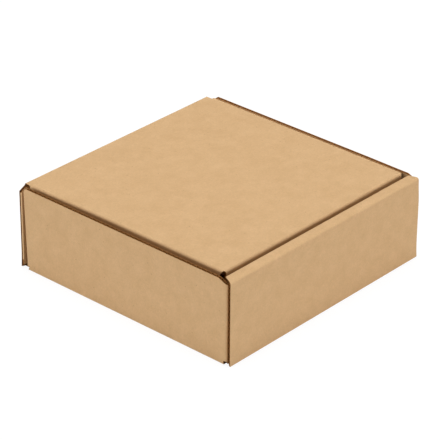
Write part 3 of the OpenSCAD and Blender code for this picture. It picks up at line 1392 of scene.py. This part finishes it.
    def hinge(self) -> Leaf:
        """The crease between the back wall and the lid.

        Returns:
            The leaf.
        """
        end = self.hinge_end
        rows = self.path.rows(self.hinge_step, 0, 3)
        rows = [s for s in rows if self.hinge_lead < s < end - TOUCH]
        rows = merged([0.0, self.hinge_lead], rows, [end])
        bent_to = self.box.tongue + self.hinge_step
        pins = {(0.0, self.strip_ends(0.0)[1]): (0.0, -self.board.open_depth)}
        return Leaf(
            self.path, rows, self.strip_columns, FluteRun.ALONG_FOLDS,
            pins | self.crushed_pins(),
            # Capped at both ends, and where the left end is bent down
            capped=lambda low, high: (
                high[0] < TOUCH or low[0] > end - TOUCH or (high[0] < bent_to and high[1] < 0)
            ),
            crushed=lambda p: p[0] > end - self.hinge_crushed,
            warp=self.tongue_warp,
        )

    def tongue_warp(self, p: Vector) -> Vector:
        """Bends the crease's left end down, where it runs on from the lid's side fold.

        Args:
            p: A point of the crease, in mm.

        Returns:
            Where it lies in the bent one.
        """
        b = self.box
        over = -p.x - (b.skew - b.lid_left - b.lid_fold)
        share = 1.0 - smooth((p.y - b.lid_back - b.tongue) / b.tongue_ease)
        if over <= 0 or share <= 0:
            return p
        turn, rest = min(QUARTER, over / b.lid_fold), b.lid_fold - (b.top - p.z)
        x = b.lid_left + b.lid_fold - b.skew - rest * math.sin(turn)
        drop = max(0.0, over - QUARTER * b.lid_fold)
        bent = Vector((x, p.y, b.top - b.lid_fold + rest * math.cos(turn) - drop))
        return p.lerp(bent, share)

    def corner_warp(self, p: Vector) -> Vector:
        """Draws the left rear corner in at its foot, where it stands off the back wall.

        Args:
            p: A point of the left wall, in mm.

        Returns:
            Where it lies in the leaning one.
        """
        b = self.box
        if p.x > -b.side / 2 or p.y < b.back / 2:
            return p
        along = smooth((p.y - self.lean_y) / (b.wall_back - self.lean_y))
        out = clamp((-p.x - self.lean_x) / (b.side - self.lean_x - self.lean_full))
        rise = clamp(p.z / b.inset) * max(0.0, 1.0 - p.z / b.top)
        return p + Vector((0.0, -b.lean_in * along * out * rise, 0.0))

    def fold_warp(self, p: Vector) -> Vector:
        """The same shift for the bottom fold, and none where it meets the bottom."""
        share = clamp((self.box.inset - self.box.side - p.x) / self.board.cut_depth)
        return p + (self.corner_warp(p) - p) * share

    def side_fold(self, mirror: bool) -> Leaf:
        """The fold between the bottom and a side wall.

        Args:
            mirror: Whether it is the right one.

        Returns:
            The leaf.
        """
        b = self.box
        deep, cut = self.board.open_depth, self.board.cut_depth
        flat = Run(b.inset - b.foot_crease)
        path = FoldPath(
            Plane.XZ, (b.inset - b.side, 0.0), math.pi, [flat, Bend(b.foot_crease), flat], mirror
        )
        ends = (-b.wall_end, b.wall_back)
        pins = {}
        for end in ends:
            for s, step in ((0.0, -deep), (path.stops[3], deep)):
                pins[(s, end)] = (step, -math.copysign(cut, end))
        stations = self.wall_stations()
        return Leaf(
            path, path.rows(self.step), lambda s: stations, FluteRun.ACROSS_FOLDS, pins,
            joined=lambda low, high: not any(same(low[1], v) and same(high[1], v) for v in ends),
            warp=(lambda p: p) if mirror else self.fold_warp,
        )

    def right_drop(self, y: float) -> float:
        """How much lower the right wall's top lies, the most of it by the front."""
        b = self.box
        share = smooth((-y - b.sag_from) / b.sag_ease)
        return b.right_sag * (b.sag_least + (1.0 - b.sag_least) * share)

    def side_wall(self, mirror: bool) -> Leaf:
        """A side wall with its two corner flaps.

        Args:
            mirror: Whether it is the right one.

        Returns:
            The leaf.
        """
        b, end, back_end = self.box, self.box.wall_end, self.box.wall_back
        deep, cut = self.board.open_depth, self.board.cut_depth
        back_in, back_crease, back_slope = b.flap_in_left, b.corner_crease_left, b.back_slope_left
        if mirror:
            back_in, back_crease, back_slope = b.flap_in, b.corner_crease, b.back_slope
        reach = b.flap_length - b.corner_crease
        level = b.back - b.flap_in - b.corner_crease
        back_level = b.back - back_in - back_crease
        path = FoldPath(
            Plane.XY,
            (b.flap_length - b.side, b.flap_in - b.back),
            math.pi,
            [
                Run(reach),
                Bend(b.corner_crease),
                Run(level + back_level),
                Bend(back_crease),
                Run(reach),
            ],
            mirror,
        )
        total, middle = path.stops[5], path.stops[2] + level
        flap_rows = merged(
            spread(0.0, b.flap_chamfer, b.flap_chamfer / 2),
            spread(b.flap_chamfer, reach, self.step),
        )
        rows = merged(
            flap_rows, path.rows(self.step, 1, 2), [middle + y for y in self.wall_stations()],
            path.rows(self.step, 3, 4), [total - s for s in flap_rows],
        )

        def columns(s: float) -> list[float]:
            """Stations up the wall or flap, between its lower and upper edge.

            Args:
                s: The station along the path, in mm.

            Returns:
                The heights, rising.
            """
            y = path.at(s, 0.0, 0.0).y
            front = (y + b.back - b.flap_in) / b.front_slope
            back = (b.back - back_in - y) / back_slope
            slope = clamp(min(front, back))
            chamfer = max(0.0, b.flap_chamfer - min(s, total - s))
            high = b.flap_top + (b.top - b.flap_top) * slope - chamfer
            high -= self.right_drop(y) if mirror else 0.0
            corner = b.back - (back_in if y > 0 else b.flap_in)
            last = back_end if y > 0 else end
            near = clamp((corner - abs(y)) / (corner - last))
            low = b.flap_foot + (b.inset - b.flap_foot) * near + chamfer
            return spread(low, high, (high - low) / self.wall_columns)

        pins = {
            (middle - end, b.inset): (cut, deep),
            (middle + back_end, b.inset): (-cut, deep),
        }
        leaf = Leaf(
            path, rows, columns, FluteRun.ALONG_FOLDS, pins,
            joined=lambda low, high: (
                high[1] < b.inset + TOUCH
                and middle - end - TOUCH < low[0] and high[0] < middle + back_end + TOUCH
            ),
        )
        if mirror:
            leaf.open_share = self.board.burred_share
            leaf.burr = lambda p: self.board.burr if p[1] > b.burr_from else 0.0
        else:
            leaf.warp = self.corner_warp
        return leaf

    def build(self, maker: PieceMaker) -> list[bpy.types.Object]:
        """Builds the tray's sheet and its wavy paper.

        Args:
            maker: What makes the pieces.

        Returns:
            The sheet and the paper.
        """
        leaves = [self.strip()]
        for mirror in (False, True):
            leaves += [self.side_fold(mirror), self.side_wall(mirror)]
        return maker.make("tray_sheet", "tray_flutes", leaves)

    def build_hinge(self, maker: PieceMaker) -> bpy.types.Object:
        """Builds the crease between the back wall and the lid, as one piece."""
        return join(*maker.make("hinge_crease", "hinge_flutes", [self.hinge()]))


@dataclass
class Lid:
    """The lid's panel with its front and side tuck flaps."""

    board: BoardSpec = BOARD
    box: BoxSizes = BOX
    step: float = 4.4
    panel_columns: int = 32
    # How the folds end at the lid's front corners: drawn back, with a slit between them
    draw_back: float = 1.1
    slit: float = 0.03
    slit_row: float = 0.15

    def __post_init__(self) -> None:
        """Draws the path of the lid's strip, from the front flap's tip to the hinge."""
        b = self.box
        self.front = b.lid_front + b.lid_inset
        self.left = b.lid_left + b.lid_inset
        self.right = b.lid_right - b.lid_inset
        self.flap = b.front_flap - b.lid_fold
        self.path = FoldPath(
            Plane.YZ,
            (b.lid_front, b.top - b.front_flap),
            QUARTER,
            [Run(self.flap), Bend(b.lid_fold), Run(b.lid_back - b.lid_front - b.lid_fold)],
        )
        self.panel_start = self.path.stops[2] + b.lid_inset - b.lid_fold

    def mitre(self, reach: float, play: float = 0.0) -> float:
        """How far a fold ends before the lid's corner.

        Args:
            reach: Distance inwards from the fold's outer face.
            play: Width of the slit between the two folds.

        Returns:
            The end, cut on the slant at the top and drawn back further down.
        """
        b = self.box
        if reach > b.lid_inset - TOUCH:
            return b.lid_inset
        return max(b.lid_corner, reach) + max(0.0, b.lid_corner - reach) * self.draw_back + play

    def panel_stations(self) -> list[float]:
        """Stations in Y that the panel and its side folds share."""
        return spread(self.front, self.box.lid_back, self.step)

    @staticmethod
    def flap_rows(full: float, corner: float, step: float) -> list[float]:
        """Stations up a tuck flap, close together at its rounded corners."""
        turns = spread(0.0, QUARTER, QUARTER / ROUND_STEPS)
        round_rows = [corner * (1 - math.sin(turn)) for turn in turns]
        return merged(round_rows, spread(corner, full, step))

    def strip(self) -> Leaf:
        """The lid's strip: front tuck flap, fold and panel.

        Returns:
            The leaf.
        """
        b, path = self.box, self.path
        cut, deep = self.board.cut_depth, self.board.open_depth
        start = self.panel_start
        stations = [start + y - self.front for y in self.panel_stations()]
        turn = b.lid_fold * math.acos(1 - b.lid_corner / b.lid_fold)
        rows = merged(
            self.flap_rows(self.flap, b.front_flap_round, self.step),
            path.rows(self.step, 1, 2),
            [self.flap + turn],
            stations,
        )

        def columns(s: float) -> list[float]:
            """Stations across the strip.

            Args:
                s: The station along the path, in mm.

            Returns:
                The places in X, rising.
            """
            draw = drawn_in(
                self.flap - s, self.flap, b.front_flap_slant, b.front_flap_round
            )
            draw = draw if s < self.flap else 0.0
            end = draw + self.mitre(path.at(s, 0.0, 0.0).y - b.lid_front)
            left, right = self.left + draw, self.right - draw
            inner = spread(left, right, (right - left) / self.panel_columns)[1:-1]
            return [b.lid_left + end, *inner, b.lid_right - end]

        def warp(p: Vector) -> Vector:
            """Squares the fold's sharp inner corner off at both ends, and skews the edge."""
            if self.in_crease(p.y - b.lid_front, p.z):
                p.x = min(self.right, max(self.left, p.x))
            return self.skew(p)

        pins = {(start, self.left): (cut, deep), (start, self.right): (cut, -deep)}
        return Leaf(
            path, rows, columns, FluteRun.ALONG_FOLDS, pins, warp=warp,
            joined=lambda low, high: low[0] > start - TOUCH,
            capped=lambda low, high: low[0] > path.stops[3] - TOUCH,
        )

    def in_crease(self, reach: float, z: float) -> bool:
        """Whether a point lies on the sharp inner corner of a fold at a reach."""
        t = self.board.thickness
        return same(reach, t) and same(self.box.top - t, z)

    def skew(self, p: Vector) -> Vector:
        """Spreads the lid's left edge towards the hinge, as the real fold does.

        Args:
            p: A point of the lid, in mm; it is moved.

        Returns:
            The point.
        """
        b = self.box
        near = smooth((p.y - b.lid_back + b.skew_length) / b.skew_length)
        p.x -= b.skew * near * smooth((-p.x - b.skew_from) / b.skew_ease)
        return p

    def side_flap(self, mirror: bool) -> Leaf:
        """A side tuck flap with its fold.

        Args:
            mirror: Whether it is the right one.

        Returns:
            The leaf.
        """
        b = self.box
        cut, deep = self.board.cut_depth, self.board.open_depth
        face = -b.lid_right if mirror else b.lid_left
        depth = b.side_flap - b.lid_fold
        path = FoldPath(
            Plane.XZ,
            (face, b.top - b.side_flap),
            QUARTER,
            [Run(depth), Bend(b.lid_fold), Run(b.lid_inset - b.lid_fold)],
            mirror,
        )
        rows = merged(
            self.flap_rows(depth, b.side_flap_round, self.step),
            [depth + self.slit_row],
            path.rows(self.step, 1, 3),
        )
        stations = self.panel_stations()
        front, back = self.front, b.lid_back

        def columns(s: float) -> list[float]:
            """Stations along the flap, drawn in towards its foot.

            Args:
                s: The station along the path, in mm.

            Returns:
                The places in Y, rising.
            """
            if s > path.stops[3] - TOUCH:
                return stations
            if s > depth - TOUCH:
                reach = -face - abs(path.at(s, 0.0, 0.0).x)
                near = self.mitre(reach, self.slit) if s > depth + TOUCH else b.flap_in
                return [b.lid_front + near, *stations[1:]]
            draw = drawn_in(depth - s, depth, b.side_flap_slant, b.side_flap_round)
            near, far = b.side_flap_front + draw, back - draw
            return [near + (y - front) * (far - near) / (back - front) for y in stations]

        def warp(p: Vector) -> Vector:
            """Squares the fold's sharp inner corner off at the front, and skews the edge."""
            if self.in_crease(abs(face) - abs(p.x), p.z):
                p.y = max(b.side_flap_front, p.y)
            return p if mirror else self.skew(p)

        pins = {(path.stops[3], front): (deep, cut), (path.stops[3], back): (0.0, 0.0)}
        return Leaf(
            path, rows, columns, FluteRun.ACROSS_FOLDS, pins, warp=warp,
            joined=lambda low, high: low[0] > path.stops[3] - TOUCH,
        )

    def build(self, maker: PieceMaker) -> list[bpy.types.Object]:
        """Builds the lid's sheet and its wavy paper."""
        leaves = [self.strip(), self.side_flap(False), self.side_flap(True)]
        return maker.make("lid_sheet", "lid_flutes", leaves)


@dataclass(frozen=True)
class Softbox:
    """A square lamp that looks at the box.

    Attributes:
        name: The lamp's name.
        spot: Where it hangs, in metres.
        size: Its side, in metres.
        power: Its power, in watts.
        aim: Where it looks, in metres.
    """

    name: str
    spot: Point
    size: float
    power: float
    aim: Point = (0.0, 0.0, 0.02)

    def build(self) -> None:
        """Makes the lamp."""
        data = bpy.data.lights.new(self.name, "AREA")
        data.shape = "SQUARE"
        data.size = self.size
        data.energy = self.power
        lamp = place(self.name, data)
        lamp.location = self.spot
        ahead = Vector(self.aim) - Vector(self.spot)
        lamp.rotation_euler = ahead.to_track_quat("-Z", "Y").to_euler()


@dataclass
class Studio:
    """Pale floor, soft light and the photograph's camera."""

    floor_size: float = 6.0
    floor_colour: str = "#e7e7e7"
    floor_share: float = 0.85
    floor_glow: float = 1.08
    world_level: float = 0.235
    target: Point = (0.0, 0.0, 0.02444)
    distance: float = 1.27523
    azimuth: float = 131.772
    elevation: float = 28.904
    roll: float = 0.4013
    lens: float = 195.0
    sensor: float = 36.0
    shift: tuple[float, float] = (-0.0006, 0.00477)
    clip: tuple[float, float] = (0.01, 50.0)
    lamps: tuple[Softbox, ...] = (
        Softbox("overhead_softbox", (0.1, 0.1, 1.5), 0.9, 16.4),
        Softbox("left_fill", (-1.6, 0.5, 0.25), 1.0, 13.3),
        Softbox("front_fill", (0.4, -1.6, 0.25), 1.0, 13.3),
    )

    def build(self) -> None:
        """Makes the floor, the light and the camera."""
        self.make_floor()
        self.make_world()
        for lamp in self.lamps:
            lamp.build()
        self.make_camera()

    def make_floor(self) -> None:
        """A matte floor that shows white to the camera and keeps the box's shadow."""
        half = self.floor_size / 2
        mesh = bpy.data.meshes.new("floor")
        corners = [(-half, -half, 0), (half, -half, 0), (half, half, 0), (-half, half, 0)]
        mesh.from_pydata(corners, [], [(0, 1, 2, 3)])
        floor = place("floor", mesh)
        material = bpy.data.materials.new("floor_matte")
        add = empty_tree(material)
        matte = add("ShaderNodeBsdfDiffuse", Color=linear(self.floor_colour))
        rays = add("ShaderNodeLightPath").outputs
        seen: bpy.types.Node | bpy.types.NodeSocket = rays["Is Camera Ray"]
        for kind in ("Is Glossy Ray", "Is Transmission Ray"):
            seen = add(MATHS, {"operation": "ADD"}, in_0=seen, in_1=rays[kind])
        share = add(MATHS, TIMES, in_0=seen, in_1=self.floor_share)
        light = add("ShaderNodeEmission", Color=WHITE, Strength=self.floor_glow)
        both = add("ShaderNodeMixShader", in_0=share, in_1=matte, in_2=light)
        add("ShaderNodeOutputMaterial", Surface=both)
        mesh.materials.append(material)

    def make_world(self) -> None:
        """Even soft light from all round, and white behind the floor."""
        world = bpy.data.worlds.new("studio")
        bpy.context.scene.world = world
        add = empty_tree(world)
        rays = add("ShaderNodeLightPath").outputs
        level = add(RANGE, Value=rays["Is Camera Ray"], To_Min=self.world_level, To_Max=1.0)
        sky = add("ShaderNodeBackground", Color=WHITE, Strength=level)
        add("ShaderNodeOutputWorld", Surface=sky)

    def make_camera(self) -> None:
        """The camera at the photograph's angle."""
        azimuth, elevation = math.radians(self.azimuth), math.radians(self.elevation)
        level = math.cos(elevation)
        ahead = Vector(
            (math.sin(azimuth) * level, -math.cos(azimuth) * level, -math.sin(elevation))
        )
        right = ahead.cross(Vector((0, 0, 1))).normalized()
        up = right.cross(ahead)
        c, s = math.cos(math.radians(self.roll)), math.sin(math.radians(self.roll))
        right, up = c * right + s * up, c * up - s * right
        data = bpy.data.cameras.new("photo_camera")
        data.sensor_width = self.sensor
        data.lens = self.lens
        data.shift_x, data.shift_y = self.shift
        data.clip_start, data.clip_end = self.clip
        camera = place("photo_camera", data)
        spot = Matrix.Translation(Vector(self.target) - ahead * self.distance)
        camera.matrix_world = spot @ Matrix((right, up, -ahead)).transposed().to_4x4()
        bpy.context.scene.camera = camera


def main() -> None:
    """Builds the box's pieces in order, and hands them to their bodies."""
    logging.basicConfig(level=logging.INFO, format="%(name)s: %(message)s")
    bpy.context.scene.view_settings.view_transform = "Standard"
    Studio().build()
    maker = PieceMaker(FluteWave(), [KraftLiner().build(BOARD), FlutedCore().build()])
    tray, lid, handling = Tray(), Lid(), Handling()
    for body, made in (("tray", tray.build(maker)), ("lid", lid.build(maker))):
        for piece in made:
            handling.settle(piece)
            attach(piece, body)
            LOG.info("%s rides on %s", piece.name, body)
        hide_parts(body)
    crease = tray.build_hinge(maker)
    handling.settle(crease)
    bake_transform(crease)
    LOG.info("%s bends between tray and lid", crease.name)


if __name__ == "__main__":
    main()
